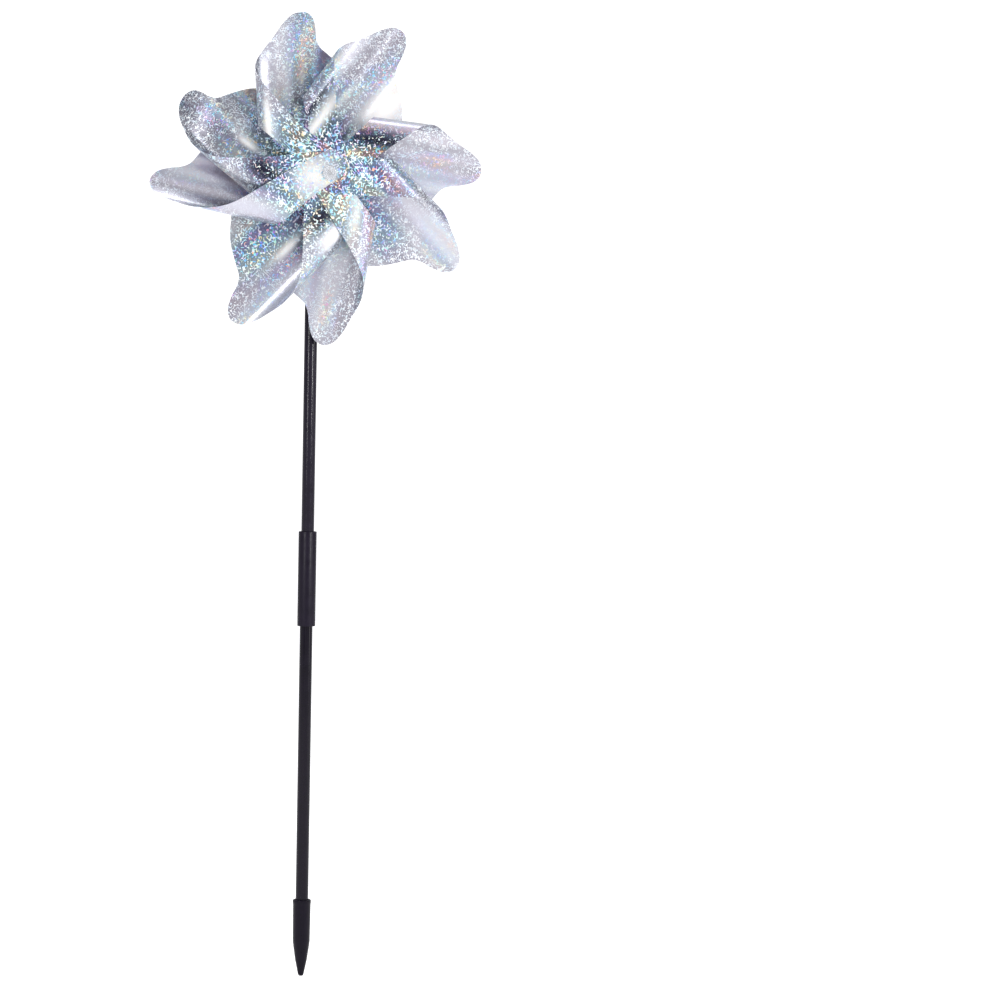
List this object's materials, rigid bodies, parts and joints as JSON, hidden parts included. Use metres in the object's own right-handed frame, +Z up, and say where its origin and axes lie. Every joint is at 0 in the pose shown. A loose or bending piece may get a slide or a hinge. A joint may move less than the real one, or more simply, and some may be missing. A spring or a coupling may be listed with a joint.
{
  "type": "pinwheel",
  "caption": "Garden pinwheel: curled holographic film petals on a plastic axle, on a plug-together black pole with a sleeve and a ground spike.",
  "frame": {"origin": "tip of the ground spike, on the pole's axis", "axes": "+Z up along the pole; the wheel faces -Y and its axle lies along Y"},
  "size_m": [0.2088, 0.0609, 0.5972],
  "materials": {
    "black_pole": "satin extruded tube",
    "black_fitting": "satin moulded plastic",
    "clear_white_plastic": "milky translucent moulding",
    "holographic_film": "silver holographic crackle film"
  },
  "bodies": {
    "spike": {"ground_spike": "black_fitting"},
    "lower_section": {"lower_pole": "black_pole"},
    "sleeve": {"connector_sleeve": "black_fitting"},
    "upper_section": {"upper_pole": "black_pole", "pole_top_cap": "black_fitting", "axle_pin": "clear_white_plastic", "rear_push_cap": "clear_white_plastic", "pole_spacer": "clear_white_plastic", "rear_washer": "clear_white_plastic"},
    "wheel": {"rear_film_sheet": "holographic_film", "front_film_sheet": "holographic_film", "inner_spacer": "clear_white_plastic", "front_washer": "clear_white_plastic"}
  },
  "joints": [
    {"name": "lower_pole_unplug", "type": "slide", "parent": "spike", "child": "lower_section", "axis": [0, 0, 1], "range_m": [0, 0.021]},
    {"name": "sleeve_unplug", "type": "slide", "parent": "lower_section", "child": "sleeve", "axis": [0, 0, 1], "range_m": [0, 0.028]},
    {"name": "upper_pole_twist", "type": "hinge", "parent": "sleeve", "child": "upper_section", "pos_m": [0, 0, 0.25], "axis": [0, 0, 1], "continuous": true},
    {"name": "wheel_spin", "type": "hinge", "parent": "upper_section", "child": "wheel", "pos_m": [0, -0.0155, 0.499], "axis": [0, -1, 0], "continuous": true}
  ]
}
